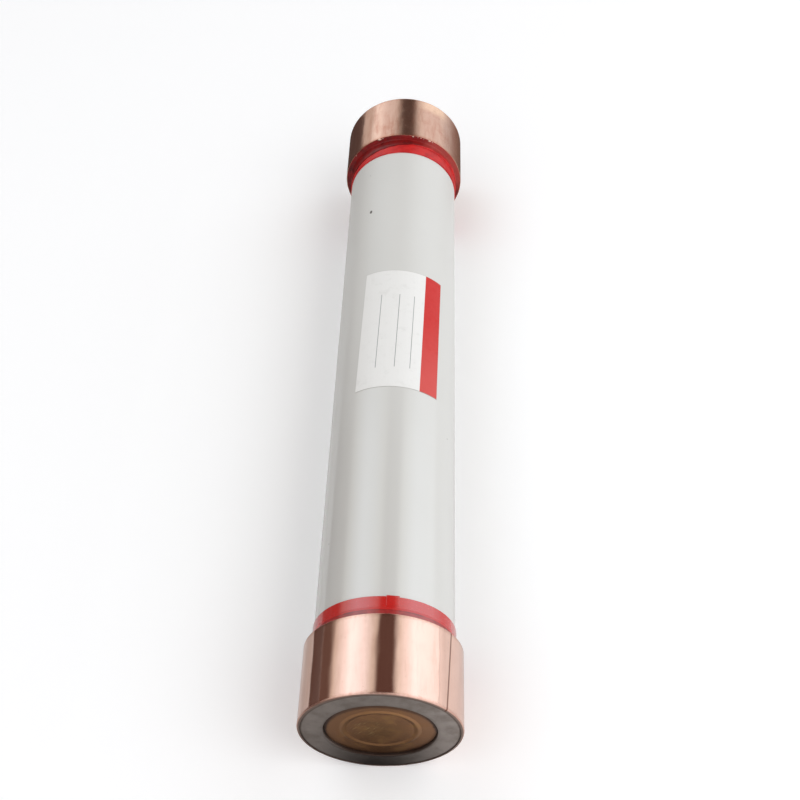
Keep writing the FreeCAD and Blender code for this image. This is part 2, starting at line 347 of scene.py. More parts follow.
def edge_tarnish(shader, at, from_end, from_mouth):
    """Tarnish along both edges of a cap, with a ragged border."""
    ragged = shader.noise(at.point, 0.9, detail=4.0) * 1.6
    by_end = 1 - shader.step(from_end + ragged, *end_tarnish)
    by_mouth = 1 - shader.step(from_mouth + ragged, *mouth_tarnish)
    return by_end + by_mouth


def highlight_patch(shader, at, from_end, clouds, brightened):
    """The patch by the end with a painted highlight, where the scratches also lie."""
    highlight_mask = shader.near(at.angle, highlight_angle, highlight_width, highlight_soft) * brightened
    return highlight_mask * (1 - shader.step(from_end + clouds * 5, highlight_reach - 2, highlight_reach + 4))


def slanted_scratches(shader, at):
    arc = at.angle * cap_arc
    along = (at.y + arc * scratch_slant) * 4.0
    across = (arc - at.y * scratch_slant) * 0.3
    return shader.step(shader.noise(shader.vector(along, across, 0.0), 1.0, detail=2.0), 0.6, 0.68)


def flat_rim(shader, at, from_end):
    """The flat of the rim, inside its rounded edge."""
    inside = 1 - shader.step(at.radius, cap_radius - rim_width, cap_radius - rim_width / 3)
    return inside * (1 - shader.step(from_end, *rim_depth))


def scored_line(shader, at, middle):
    """The line that a clip has scored along a cap, which leans a little."""
    from_line = at.angle - score_angle - (at.y - middle) * score_lean
    return shader.near(from_line, 0.0, score_width, score_soft)


print("the scored line leans", round((near_mouth - near_end) * score_lean, 1), "degrees in all")

# %% Copper
bright_copper = colour(248, 210, 194)
dull_copper = colour(210, 172, 154)
tarnished_copper = colour(176, 112, 88)
highlight_copper = colour(244, 206, 178)
edge_brown = colour(110, 62, 46)
rim_grey = colour(132, 118, 110)
wave_height = 0.22
mark_height = 0.004
score_depth = 4
scuffed_depth = (0.4, 1.1)


def copper(name, polish, end, mouth, gloss, dullness, scored, brightened):
    """Copper with a tarnish that grows with its dullness.

    Scored is how deep the clip's line is. The last argument is how strong the painted highlight
    is on the patch by the end, where the slanted scratches also lie. The line is score_depth times
    as deep as the marks of the turning.
    """
    material, shader, at = new_finish(name)
    turning = shader.noise(at.wrapped(3.0, 9.0, 9.0), 1.0, detail=4.0, roughness=0.7)
    rolling = shader.noise(at.wrapped(30.0, 0.35, 0.35), 0.09, detail=2.0)
    streaks = shader.noise(at.wrapped(22.0, 0.12, 0.12), 0.5, roughness=0.6)
    clouds = shader.noise(at.point, 0.16, detail=5.0, roughness=0.6)
    smudges = shader.step(shader.noise(at.point, 0.35, detail=6.0, roughness=0.65), 0.5, 0.72)
    specks = shader.step(shader.noise(at.point, 1.5), 0.70, 0.76)
    from_end = shader.maths("ABSOLUTE", at.y - end)
    from_mouth = shader.maths("ABSOLUTE", at.y - mouth)
    worn = (shader.step(clouds, 0.45, 0.75) * 0.6 + shader.step(streaks, 0.4, 0.75)) * dullness
    tarnish = shader.clamped(worn + edge_tarnish(shader, at, from_end, from_mouth) * 0.45)
    # A painted highlight brightens the patch by the end, and the scratches lie in it.
    highlight_mask = highlight_patch(shader, at, from_end, clouds, brightened)
    scratches = slanted_scratches(shader, at) * highlight_mask
    rim = flat_rim(shader, at, from_end)
    score = scored_line(shader, at, (end + mouth) / 2) * scored
    tint = shader.layers(
        polish,
        (tarnish, tarnished_copper),
        (specks * 0.5, edge_brown),
        (highlight_mask * 0.8, highlight_copper),
        (scratches * 0.35, edge_brown),
        (rim * 0.9, rim_grey),
        (score * 0.75, edge_brown),
    )
    scuffed = 1 - shader.step(from_end, *scuffed_depth)
    grease = smudges * (0.04 + dullness * 0.12)
    roughness = gloss + grease + tarnish * 0.12 + (turning - 0.5) * 0.10
    roughness = roughness + rim * 0.2 + scuffed * 0.22
    waves = shader.bump(rolling, wave_height * MM)
    depth = mark_height * MM * (1 + 2 * dullness)
    marks = shader.bump(turning - score * score_depth, depth, under=waves)
    shader.surface(Base_Color=tint, Metallic=1.0, Roughness=roughness, Normal=marks)
    return material


near_copper = copper(
    "polished_copper", bright_copper, near_end, near_mouth,
    gloss=0.06, dullness=0.12, scored=1.0, brightened=0.0,
)
far_copper = copper(
    "dull_copper", dull_copper, far_end, far_mouth,
    gloss=0.13, dullness=0.42, scored=0.0, brightened=1.0,
)
give(near_copper, "near_cap")
give(far_copper, "far_cap")

# %% [markdown]
# ## End rings
#
# The ring that closes the end of each cap is tinned and has gone a warm dark grey. It was turned
# on a lathe, which left fine circles. They could be cut as grooves, but a hundredth of a
# millimetre only spreads the light, so a noise stretched round the axis gives them as bump.
# A painted shade darkens it in the corner beside the cap's rim and along the cover, most of all
# at the foot.

# %% Tinned ring
ring_grey = colour(168, 158, 152)
ring_dark = colour(143, 133, 126)
# The dark of the painted shade, on the rings and on the covers.
shade_black = colour(70, 50, 40)
cover_shade_reach = (18.8, 20.2)
ring_foot = (4.0, 16.0)


def tinned():
    """Dull tin, with a painted shade beside the cover and the cap's rim."""
    material, shader, at = new_finish("dull_tin")
    turning = shader.noise(at.wrapped(4.0, 4.0, 12.0), 1.0, detail=4.0, roughness=0.7)
    wear = shader.step(shader.noise(at.point, 0.13, detail=5.0, roughness=0.6), 0.35, 0.7)
    # A painted shade: in the corner by the cap's rim, and beside the cover, most at the foot.
    corner = shader.near(at.radius, cap_radius - 1.1, 0.5, 0.35)
    beside_cover = 1 - shader.step(at.radius, *cover_shade_reach)
    shade_by_cover = beside_cover * (shader.step(at.z * -1, *ring_foot) * 0.7 + 0.2)
    dark = shader.clamped(corner * 0.7 + shade_by_cover)
    tint = shader.layers(ring_grey, (wear, ring_dark), (dark, shade_black))
    roughness = 0.36 + wear * 0.16 + (turning - 0.5) * 0.2 + shade_by_cover * 0.25
    marks = shader.bump(turning, 0.012 * MM)
    shader.surface(Base_Color=tint, Metallic=1.0, Roughness=roughness, Normal=marks)
    return material


give(tinned(), "near_end_ring", "far_end_ring")

# %% [markdown]
# ## Covers
#
# The brass cover inside the ring was turned on a lathe, which leaves rings, and has darkened to
# brown. It is still golden in patches, and a little in its middle and on its pressed ring, where
# hands rub it. A painted shade darkens it towards its edge, nearly black in a crescent along its
# upper edge, and at its foot.
# A patch left of its middle has slanted bright scratches. All this is colour on one flat disc,
# so it is made of masks, while the pressed ring itself is a shape of the CAD model.

# %% Age of the covers
# Where the painted shade of the covers lies.
edge_reach = (15.0, 18.8)
border_reach = (17.8, 19.0)
crescent_drop = 2.5
crescent_reach = (18.2, 19.4)
cover_foot = (4.0, 24.0)
patch_middle = (-4.5, 0.5)
patch_reach = 6.0


def cover_painted_shade(shader, at, clouds):
    """Painted shade: dark along the edge, in a crescent at the top and at the foot."""
    edge = shader.step(at.radius, *edge_reach)
    border = shader.step(at.radius + clouds * 1.5, *border_reach)
    from_low = shader.distance(at.x, at.z + crescent_drop)
    crescent = shader.step(from_low + clouds * 1.5, *crescent_reach)
    foot = shader.step(at.z * -1, *cover_foot)
    return shader.clamped(edge * 0.15 + border * 0.35 + crescent * 0.6 + foot * 0.35)


def patch_scratches(shader, at, clouds):
    """Slanted scratches in a patch left of the middle."""
    across = at.x - patch_middle[0]
    up = at.z - patch_middle[1]
    from_patch = shader.distance(across, up)
    patch = 1 - shader.step(from_patch + clouds * 3, patch_reach - 2, patch_reach + 3)
    slanted = shader.vector((across * 0.8 + up) * 0.18, (up * 0.8 - across) * 1.6, 0.0)
    return shader.step(shader.noise(slanted, 1.0, detail=2.0), 0.56, 0.66) * patch


print("the scratched patch is", 2 * patch_reach, "mm across")

# %% Aged brass
brass_brown = colour(160, 115, 80)
brass_gold = colour(170, 134, 84)
brass_bright = colour(226, 196, 140)
pressed_ring = 12.4
centre_reach = (3.0, 11.0)
ring_phase = 5.5  # in radians for each millimetre, so the rings are 1.14 mm apart


def aged_brass():
    """Brown brass, golden where it is rubbed, with lathe rings."""
    material, shader, at = new_finish("aged_brass")
    wobble = shader.noise(at.point, 0.5) * 1.5
    rings = shader.maths("SINE", at.radius * ring_phase + wobble) * 0.5 + 0.5
    turning = shader.noise(at.wrapped(3.0, 3.0, 14.0), 1.0, detail=4.0, roughness=0.7)
    clouds = shader.noise(at.point, 0.17, detail=6.0, roughness=0.62)
    brightened = shader.near(at.radius, pressed_ring, 1.3, 0.8)
    centre = 1 - shader.step(at.radius, *centre_reach)
    patches = shader.step(clouds, 0.5, 0.75)
    gold = shader.clamped(brightened * 0.15 + centre * 0.25 + patches * 0.6)
    tint = shader.layers(
        brass_brown,
        (gold, brass_gold),
        (cover_painted_shade(shader, at, clouds), shade_black),
        (patch_scratches(shader, at, clouds) * 0.6, brass_bright),
    )
    roughness = 0.34 + shader.step(clouds, 0.4, 0.7) * 0.18 + (turning - 0.5) * 0.2
    marks = shader.bump(turning + rings * 0.5, 0.014 * MM)
    shader.surface(Base_Color=tint, Metallic=0.9, Roughness=roughness, Normal=marks)
    return material


give(aged_brass(), "near_cover", "far_cover")

# %% [markdown]
# ## Glazed tube
#
# The tube is porcelain under a satin glaze of a pale warm grey. A glaze is glass: a thin clear
# coat with its own, sharper reflection over a softer body, so the Coat of the Principled shader
# makes it, and no second surface is needed. Kiln dust leaves a few dark flecks in it, one of them
# larger than the rest, and its colour drifts a little where it ran thicker. It is glossier
# towards the near end, where a painted shade also deepens its colour.

# %% Flecks in the glaze
fleck_angle = -28.5
fleck_place = 79.3
fleck_size = 0.75
fleck_stretch = 0.4


def kiln_dust(shader, at):
    """A few small flecks, where a broad noise lets them show."""
    inputs = {"Vector": at.point, "Scale": 0.11, "Randomness": 1.0}
    dust = shader.add("ShaderNodeTexVoronoi", {"feature": "F1"}, inputs)
    sparse = shader.step(shader.noise(at.point, 0.06, detail=1.0), 0.56, 0.6)
    return (1 - shader.step(dust, 0.028, 0.045)) * sparse


def large_fleck(shader, at):
    """The one large fleck, longer along the tube than round it."""
    across = (at.angle - fleck_angle) * tube_arc
    along = at.y - fleck_place
    away = shader.maths("SQRT", across * across + along * along * fleck_stretch)
    ragged = away + shader.noise(at.point, 3.0) * 0.3
    return 1 - shader.step(ragged, fleck_size * 0.7, fleck_size * 1.3)


print("the large fleck is", round(2 * fleck_size, 1), "mm wide")

# %% Glaze
glaze_light = colour(216, 215, 211)
glaze_deep = colour(205, 204, 199)
fleck_dark = colour(70, 64, 58)
glossy_until, satin_from = -130, 60


def glaze():
    """A clear coat over a pale body, with flecks on the tube's outside."""
    material, shader, at = new_finish("satin_glaze")
    drift = shader.noise(at.point, 0.035)
    orange_peel = shader.noise(at.point, 0.55, detail=2.0)
    outside = shader.step(at.radius, tube_radius - 1.0, tube_radius - 0.5)
    glossy = 1 - shader.step(at.y + (drift - 0.5) * 60, glossy_until, satin_from)
    flecks = shader.clamped(kiln_dust(shader, at) * 0.6 + large_fleck(shader, at)) * outside
    # The colour drifts at random, and a painted shade deepens it towards the near end.
    toward_deep = drift * 0.5 + glossy * 0.4
    tint = shader.layers(glaze_light, (toward_deep, glaze_deep), (flecks, fleck_dark))
    shader.surface(
        Base_Color=tint,
        Roughness=0.46 - glossy * 0.14 + (drift - 0.5) * 0.1,
        Normal=shader.bump(orange_peel, 0.012 * MM),
        Coat_Weight=0.1 + glossy * 0.9,
        Coat_Roughness=0.10,
        Coat_IOR=2.0,
    )
    return material


give(glaze(), "ceramic_tube")

# %% [markdown]
# ## Red compound and red bands
#
# A red compound seals the mouth of each cap, and a band of red enamel runs round the tube beside
# it. Enamel is thicker in some places than others, so its red goes from bright to deep, and
# its gloss is broken by brush marks that run round the tube. Both reds are one recipe with
# different colours and gloss. Where they meet is a place along Y, because a brush doesn't stop
# at the edge of a solid, and a dark seam shows there.

# %% Red enamel and compound
enamel_red = colour(196, 26, 22)
sheen_red = colour(178, 68, 60)
seam_dark = colour(92, 14, 14)
dust_pink = colour(214, 150, 140)
near_joint = (-123.8, 0.0)
far_joint = (122.1, 0.12)
sheen_angle = 64.0
worn_angle = 61.0


def red(name, light, dark, joint, gloss, lump_height, coat, shine, sheen=0.0):
    """Red in two depths, with a dark seam at a joint, which is a place along Y and its slant.

    Shine is how much it reflects, and the last argument how strong a painted sheen of paler red
    shows on its right. The near compound is covered by enamel past its joint.
    """
    material, shader, at = new_finish(name)
    thick = shader.noise(at.point, 0.28, detail=4.0, roughness=0.55)
    brush = shader.noise(at.wrapped(5.0, 5.0, 2.0), 1.0)
    dust = shader.step(shader.noise(at.point, 2.2, detail=2.0), 0.68, 0.74)
    # A painted sheen: a paler red on the right side.
    painted_sheen = shader.near(at.angle + (thick - 0.5) * 30, sheen_angle, 36.0, 10.0) * sheen
    worn = shader.near(at.angle, worn_angle, 8.0, 4.0)
    place, slant = joint
    past_joint = at.y - at.x * slant - place + (brush - 0.5) * 0.3
    seam = shader.near(past_joint, 0.0, 0.25, 0.15) * shader.clamped(thick * 2 - 0.55)
    tint = shader.layers(light, (shader.step(thick, 0.35, 0.7), dark), (painted_sheen, sheen_red))
    if joint == near_joint:
        tint = shader.mix(shader.step(past_joint, -0.1, 0.2), tint, enamel_red)
    tint = shader.layers(tint, (seam, seam_dark), (dust * 0.2, dust_pink))
    lumps = shader.bump(thick, lump_height * MM)
    shader.surface(
        Base_Color=tint,
        Roughness=gloss + (brush - 0.5) * 0.14 + dust * 0.2,
        Normal=shader.bump(brush, 0.03 * MM, under=lumps),
        Specular_IOR_Level=shine,
        Coat_Weight=shader.clamped((1 - worn * 0.6 - dust * 0.1) * coat),
        Coat_Roughness=0.08,
        Coat_IOR=1.9,
    )
    return material


print("the far joint leans", round(far_joint[1] * 2 * tube_radius, 1), "mm across the tube")

# %% Reds of the near end
enamel_deep = colour(176, 20, 20)
near_compound_red = colour(170, 44, 42)
near_compound_deep = colour(140, 28, 28)

near_enamel = red(
    "red_enamel", enamel_red, enamel_deep, near_joint,
    gloss=0.25, lump_height=0.03, coat=0.95, shine=0.5,
)
near_compound = red(
    "red_compound_bright", near_compound_red, near_compound_deep, near_joint,
    gloss=0.3, lump_height=0.1, coat=0.6, shine=0.5,
)
give(near_enamel, "near_red_band")
give(near_compound, "near_seal_bead")

# %% Reds of the far end
far_enamel_red = colour(206, 34, 32)
far_enamel_deep = colour(180, 24, 26)
compound_red = colour(134, 19, 18)
compound_dark = colour(98, 14, 14)

far_enamel = red(
    "red_enamel_worn", far_enamel_red, far_enamel_deep, far_joint,
    gloss=0.5, lump_height=0.05, coat=0.1, shine=0.25,
)
far_compound = red(
    "red_compound", compound_red, compound_dark, far_joint,
    gloss=0.45, lump_height=0.3, coat=0.1, shine=0.2, sheen=0.75,
)
give(far_enamel, "far_red_band")
give(far_compound, "far_seal_bead")

# %% [markdown]
# ## Label
#
# The label is a coated paper sticker. A red strip runs down its right side, and three thin ruled
# lines leave room to write on. Paper is never quite flat on a tube: it has faint creases along
# it, and a painted shade darkens its cut edges. A painted sheen pales the strip towards the near
# end. The strip and the lines are as thin as ink, so they are masks too, in the label's own
# directions: across it and up it, leaning as the label leans.

# %% Layout of the label
half_width, half_length = 17.15, 32.25
label_angle = 9.4
label_middle = 5.9
label_lean = math.radians(1.6)
strip_edge = 9.1
rule_places = (-9.0, -1.5, 4.6)
rule_ends = (-22.0, 18.0)
rule_half_width = 0.13
ink_soft = 0.05
# The width of the painted shade along the label's cut edges.
shaded_edge_width = 0.2


def label_directions(at):
    """How far a point is across the label and up it, from the label's middle."""
    round_tube = (at.angle - label_angle) * tube_arc
    along_tube = at.y - label_middle
    across = round_tube * math.cos(label_lean) - along_tube * math.sin(label_lean)
    up = round_tube * math.sin(label_lean) + along_tube * math.cos(label_lean)
    return across, up


def ruled_lines(shader, across, up):
    low, high = rule_ends
    within = shader.near(up, (low + high) / 2, (high - low) / 2, ink_soft)
    rules = 0.0
    for place in rule_places:
        rules = shader.near(across, place, rule_half_width, ink_soft) + rules
    return shader.clamped(rules) * within


def shaded_edges(shader, across, up):
    """The narrow border at the cut edges, darkened by a painted shade."""
    between_sides = shader.near(across, 0.0, half_width - shaded_edge_width, 0.12)
    between_ends = shader.near(up, 0.0, half_length - shaded_edge_width, 0.12)
    return 1 - between_sides * between_ends


print("the label is", 2 * half_width, "by", 2 * half_length, "mm")

# %% Label paper
paper_white = colour(235, 234, 231)
paper_shade = colour(216, 215, 211)
strip_red = colour(208, 24, 14)
strip_deep = colour(194, 20, 12)
sheen_on_red = colour(212, 84, 78)
rule_grey = colour(120, 120, 122)
edge_shade_grey = colour(150, 146, 140)
sheen_full_until, sheen_gone_from = -34, 10


def label_paper():
    """Coated paper with a printed strip, with a painted sheen on the strip towards the near end."""
    material, shader, at = new_finish("label_paper")
    fibre = shader.noise(at.point, 4.5)
    creases = shader.noise(at.wrapped(30.0, 0.05, 0.0), 0.35, detail=2.0)
    dirt = shader.step(shader.noise(at.point, 0.3, detail=6.0, roughness=0.65), 0.5, 0.8)
    white = shader.mix(dirt * 0.5, paper_white, paper_shade)
    across, up = label_directions(at)
    toward_deep = shader.noise(at.point, 0.6)
    # A painted sheen makes the strip's red paler towards the near end.
    strip_sheen_mask = 1 - shader.step(up + (dirt - 0.5) * 6, sheen_full_until, sheen_gone_from)
    ink = shader.layers(strip_red, (toward_deep, strip_deep), (strip_sheen_mask * 0.7, sheen_on_red))
    strip = shader.step(across, strip_edge - 0.06, strip_edge + 0.06)
    tint = shader.layers(
        white,
        (strip, ink),
        (ruled_lines(shader, across, up) * 0.8, rule_grey),
        (shaded_edges(shader, across, up) * 0.5, edge_shade_grey),
    )
    relief = shader.bump(creases, 0.05 * MM)
    shader.surface(
        Base_Color=tint,
        Roughness=0.42 + dirt * 0.12,
        Normal=shader.bump(fibre, 0.004 * MM, under=relief),
        Specular_IOR_Level=0.3,
        Coat_Weight=0.15 - dirt * 0.1,
        Coat_Roughness=0.25,
    )
    return material


give(label_paper(), "label")

# %% [markdown]
# ## Inside the fuse
#
# The pieces inside don't show until the fuse is taken apart, but they are still the fuse, and
# each has its own stuff: porcelain, silvered wire, tin, quartz, cement, rubber, felt, brass and
# steel. One function covers them, because they differ in colour, grain and how metallic they are,
# and a table of those numbers is quicker to compare than a dozen functions.

# %% A finish with one grain
def plain(name, light, dark, metallic, roughness, grain, relief, coat=0.0):
    """A finish with one grain: its size, its relief, and the two colours it drifts between."""
    material, shader, at = new_finish(name)
    fine = shader.noise(at.point, 1 / grain, detail=5.0, roughness=0.65)
    broad = shader.noise(at.point, 0.12 / grain)
    drift = shader.clamped(fine * 0.7 + broad * 0.5 - 0.1)
    shader.surface(
        Base_Color=shader.mix(drift, colour(*light), colour(*dark)),
        Metallic=metallic,
        Roughness=roughness + (fine - 0.5) * 0.2,
        Normal=shader.bump(fine, relief * MM),
        Coat_Weight=coat,
    )
    return material


pin_enamel = plain(
    "red_pin_enamel", (206, 40, 34), (172, 26, 26), 0.0, 0.3, grain=2.5, relief=0.012, coat=0.6
)
give(pin_enamel, "indicator_pin")

# %% The other inner finishes
elements = [f"fuse_element_{number}" for number in (1, 2, 3)]
sprung = ["indicator_spring", "indicator_wire"]


def both_ends(piece):
    return [f"near_{piece}", f"far_{piece}"]


stars = both_ends("contact_star")
# A row is a name, a light and a dark colour, how metallic, how rough, the grain, the relief
# and the nodes.
inner_finishes = [
    ("core_porcelain", (236, 230, 218), (222, 214, 200), 0.0, 0.6, 0.4, 0.01, ["winding_core"]),
    ("silver_plate", (236, 236, 232), (206, 204, 198), 1.0, 0.25, 0.2, 0.004, elements),
    ("solder", (216, 216, 216), (170, 170, 172), 1.0, 0.32, 0.5, 0.03, ["tin_beads"]),
    ("quartz_sand", (232, 224, 206), (190, 176, 150), 0.0, 0.7, 0.25, 0.12, ["quartz_sand"]),
    ("set_cement", (206, 202, 192), (170, 164, 152), 0.0, 0.85, 0.3, 0.08, both_ends("cement")),
    ("black_rubber", (50, 50, 50), (34, 34, 34), 0.0, 0.6, 0.3, 0.02, both_ends("gasket")),
    ("pressed_felt", (222, 214, 196), (188, 178, 158), 0.0, 0.95, 0.35, 0.15, both_ends("pad")),
    ("bright_brass", (232, 202, 132), (196, 158, 92), 1.0, 0.26, 0.6, 0.006, stars),
    ("drawn_steel", (196, 198, 200), (150, 152, 156), 1.0, 0.3, 0.3, 0.006, sprung),
]
for name, light, dark, metallic, roughness, grain, relief, nodes in inner_finishes:
    give(plain(name, light, dark, metallic, roughness, grain, relief), *nodes)

# %% [markdown]
# The guide of the indicator shows from outside, in the far cover. It is brass as it left the
# lathe, so it gets rings in its gloss and a duller rim. A plain grain would make it look cast.

# %% Brass of the indicator's guide
lathe_bright = colour(224, 188, 122)
lathe_dull = colour(184, 144, 90)
guide_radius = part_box("indicator_guide")[1].x / MM


def lathe_brass():
    """Brass as it left the lathe: rings in its gloss, and a duller rim."""
    material, shader, at = new_finish("lathe_brass")
    turning = shader.noise(at.wrapped(0.5, 1.7, 1.7), 1.0, detail=1.0)
    clouds = shader.noise(at.point, 0.3)
    rim = shader.step(at.radius, guide_radius - 1.0, guide_radius - 0.1)
    tint = shader.mix(shader.clamped(clouds * 0.9 + rim * 0.5), lathe_bright, lathe_dull)
    roughness = 0.27 + (turning - 0.5) * 0.16 + (clouds - 0.5) * 0.1
    marks = shader.bump(turning, 0.0015 * MM)
    shader.surface(Base_Color=tint, Metallic=1.0, Roughness=roughness, Normal=marks)
    return material


give(lathe_brass(), "indicator_guide", "wire_anchor")

# %% [markdown]
# ## Where the two reds run over each other
#
# Both reds were laid on with a brush while the fuse was turned by hand, so the line between the
# dark compound and the bright enamel of the far band isn't square to the tube. On the left the
# compound has run over the band, and on the right the enamel was brushed over the compound.
# It could be only a change of colour, but paint has an edge that catches the light. So each run
# is a thin sleeve, cut by a slanted plane as one would cut a paper tube, and given a thickness,
# a few lumps and a rounded edge. The same sleeve makes the tab on the near band, where the last
# stroke of the brush was lifted.
#
# A cutting plane treats points within its threshold as lying on it. The usual threshold is a
# tenth of a millimetre, which would fold pieces as small as these, so it is set much finer.

# %% A sleeve of paint and how it is cut
skin_sides = 192
cut_threshold = 0.0001


def sleeve(name, radius, low, high):
    """An open paper-thin sleeve about the fuse's axis, in edit mode."""
    bpy.ops.object.select_all(action="DESELECT")
    bpy.ops.mesh.primitive_cylinder_add(
        vertices=skin_sides,
        radius=radius * MM,
        depth=(high - low) * MM,
        end_fill_type="NOTHING",
        location=(0, (low + high) / 2 * MM, 0),
        rotation=(math.pi / 2, 0, 0),
    )
    piece = bpy.context.object
    piece.name = name
    bpy.ops.object.transform_apply(location=True, rotation=True, scale=True)
    bpy.ops.object.mode_set(mode="EDIT")
    return piece


def cut_away(point, direction):
    """Cuts off all that lies beyond a plane, on the side that the direction points to."""
    bpy.ops.mesh.select_all(action="SELECT")
    bpy.ops.mesh.bisect(
        plane_co=point * MM,
        plane_no=direction,
        clear_outer=True,
        threshold=cut_threshold * MM,
    )


print("a sleeve has", skin_sides, "sides, each", round(360 * tube_arc / skin_sides, 2), "mm wide")

# %% Thickness, lumps and a rounded edge
skin_thickness = 0.35
skin_edge = 0.08
skin_cuts = 3
sharp_from = 0.7  # in radians, about 40 degrees
lump_size = 3.0

lump_texture = bpy.data.textures.new("paint_lumps", "CLOUDS")
lump_texture.noise_scale = lump_size * MM


def apply_modifier(piece, kind, **settings):
    modifier = piece.modifiers.new(kind.lower(), kind)
    for name, setting in settings.items():
        setattr(modifier, name, setting)
    bpy.ops.object.modifier_apply(modifier=modifier.name)


def make_lumpy(piece, height):
    """Moves the surface in and out by up to half a height."""
    lumps = {"texture": lump_texture, "texture_coords": "LOCAL"}
    apply_modifier(piece, "DISPLACE", strength=height * MM, **lumps)


def thicken(piece, lump_height):
    """Divides the skin, thickens it inwards, rounds its edges and makes it uneven."""
    bpy.ops.mesh.select_all(action="SELECT")
    bpy.ops.mesh.subdivide(number_cuts=skin_cuts)
    bpy.ops.object.mode_set(mode="OBJECT")
    apply_modifier(piece, "SOLIDIFY", thickness=skin_thickness * MM, offset=-1.0)
    edge = {"width": skin_edge * MM, "segments": 2}
    apply_modifier(piece, "BEVEL", limit_method="ANGLE", angle_limit=sharp_from, **edge)
    make_lumpy(piece, lump_height)
    bpy.ops.object.shade_smooth_by_angle(angle=math.radians(50))


def finish_piece(piece, material, body="fuse"):
    piece.data.materials.append(material)
    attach(piece, body)
    print(piece.name, len(piece.data.polygons), "faces")


print("a skin is", skin_thickness, "mm thick, with lumps", lump_size, "mm apart")

# %% Compound and enamel at the far end
joint_place = Vector((0, far_joint[0], 0))
joint_normal = Vector((-far_joint[1], 1, 0)).normalized()
collar_radius = tube_radius + 0.55
compound_proud = 0.1
compound_ends = (118.0, 123.6)
enamel_proud = 0.14
enamel_ends = (122.6, 125.2)

compound_run = sleeve("far_compound_run", collar_radius + compound_proud, *compound_ends)
cut_away(joint_place, -joint_normal)
thicken(compound_run, lump_height=0.12)
finish_piece(compound_run, far_compound)

enamel_run = sleeve("far_enamel_run", collar_radius + enamel_proud, *enamel_ends)
cut_away(joint_place, joint_normal)
thicken(enamel_run, lump_height=0.05)
finish_piece(enamel_run, far_enamel)

# %% Tab on the near band
axis_point = Vector((0, 0, 0))
band_radius = tube_radius + 0.45
tab_angles = (6.3, 16.5)
tab_ends = (-122.2, -118.25)
tab_proud = 0.07


def along_circle(angle):
    """The direction in which the angle grows, at an angle about the fuse's axis."""
    turned = math.radians(angle)
    return Vector((math.cos(turned), 0, -math.sin(turned)))


tab = sleeve("near_band_tab", band_radius + tab_proud, *tab_ends)
cut_away(axis_point, -along_circle(tab_angles[0]))
cut_away(axis_point, along_circle(tab_angles[1]))
thicken(tab, lump_height=0.02)
finish_piece(tab, near_enamel)

# %% [markdown]
# ## Solder in the mouth of the far cap
#
# A few beads of solder sit where the compound meets the cap, and shine in the dark red. A drop
# of solder that cooled on a surface is a low dome with a flat underside, a little longer than
# wide. One is made from a ball that is flattened, cut and dented, and the others are its copies,
# each with its own mesh, in its own size and turned to its place on the ring. Simple balls would
# look like pearls.
#
# Blender lists the edges of a new ball in another order each time, and a new face starts at the
# first of its edges. So all is sorted by its distance from the 3D cursor before the cut is
# closed, and the bead comes out the same in each run. The cursor stands askew for it, where no
# two edges are equally far.

# %% One bead of solder
bead_radius = 0.5
bead_stretches = (1.3, 0.8, 0.75)
bead_cut = Vector((0, 0.12, 0))
bead_dents = 0.2
askew = Vector((1.1, 2.3, 3.7))
solder_bright = (248, 218, 202)
solder_dull = (220, 176, 156)


def close_cut():
    """Sorts the parts of the piece, and closes the one hole in it with a face."""
    bpy.context.scene.cursor.location = askew * MM
    bpy.ops.mesh.select_all(action="SELECT")
    bpy.ops.mesh.sort_elements(type="CURSOR_DISTANCE", elements={"VERT", "EDGE", "FACE"})
    bpy.ops.mesh.select_all(action="DESELECT")
    bpy.ops.mesh.select_mode(type="EDGE")
    bpy.ops.mesh.select_non_manifold()
    bpy.ops.mesh.edge_face_add()


bpy.ops.object.select_all(action="DESELECT")
bpy.ops.mesh.primitive_uv_sphere_add(
    segments=24, ring_count=14, radius=bead_radius * MM, location=(0, 0, 0)
)
drop = bpy.context.object
bpy.ops.object.mode_set(mode="EDIT")
bpy.ops.mesh.select_all(action="SELECT")
bpy.ops.transform.resize(value=bead_stretches)
cut_away(bead_cut, Vector((0, 1, 0)))
close_cut()
bpy.ops.object.mode_set(mode="OBJECT")
make_lumpy(drop, bead_dents)
bpy.ops.object.shade_smooth_by_angle(angle=math.radians(60))
solder_shape = drop.data
bpy.data.objects.remove(drop)
copper_solder = plain("copper_solder", solder_bright, solder_dull, 1.0, 0.4, grain=0.5, relief=0.01)
print("one bead has", len(solder_shape.polygons), "faces")

# %% The beads in their places
bead_ring = 26.95
bead_depth = 126.25
bead_places = [
    (-52.0, 0.5),
    (-20.5, 1.5),
    (-17.0, 0.5),
    (13.5, 0.75),
    (18.5, 0.4),
    (21.5, 0.5),
    (24.5, 0.35),
    (30.5, 1.05),
    (34.0, 0.4),
]

for number, (angle, size) in enumerate(bead_places, start=1):
    bead = bpy.data.objects.new(f"far_solder_bead_{number}", solder_shape.copy())
    bpy.context.collection.objects.link(bead)
    turned = math.radians(angle)
    place = Vector((bead_ring * math.sin(turned), bead_depth, bead_ring * math.cos(turned))) * MM
    turn_and_size = Matrix.Rotation(turned, 4, "Y") @ Matrix.Scale(size, 4)
    bead.data.transform(Matrix.Translation(place) @ turn_and_size)
    finish_piece(bead, copper_solder)

# %% [markdown]
# ## The room
#
# A polished cylinder shows its room as stripes. Two long soft boxes hang over the fuse, one each
# side, with a dark gap between them, and a dark gap low on the left. They could be lamps, but
# then each edge would have to be built and hung. So the world paints them, as stripes along the
# fuse, each at its angle from straight up. Towards the far end the room looks different, so
# a second set of stripes is mixed in there. The camera itself sees plain white.

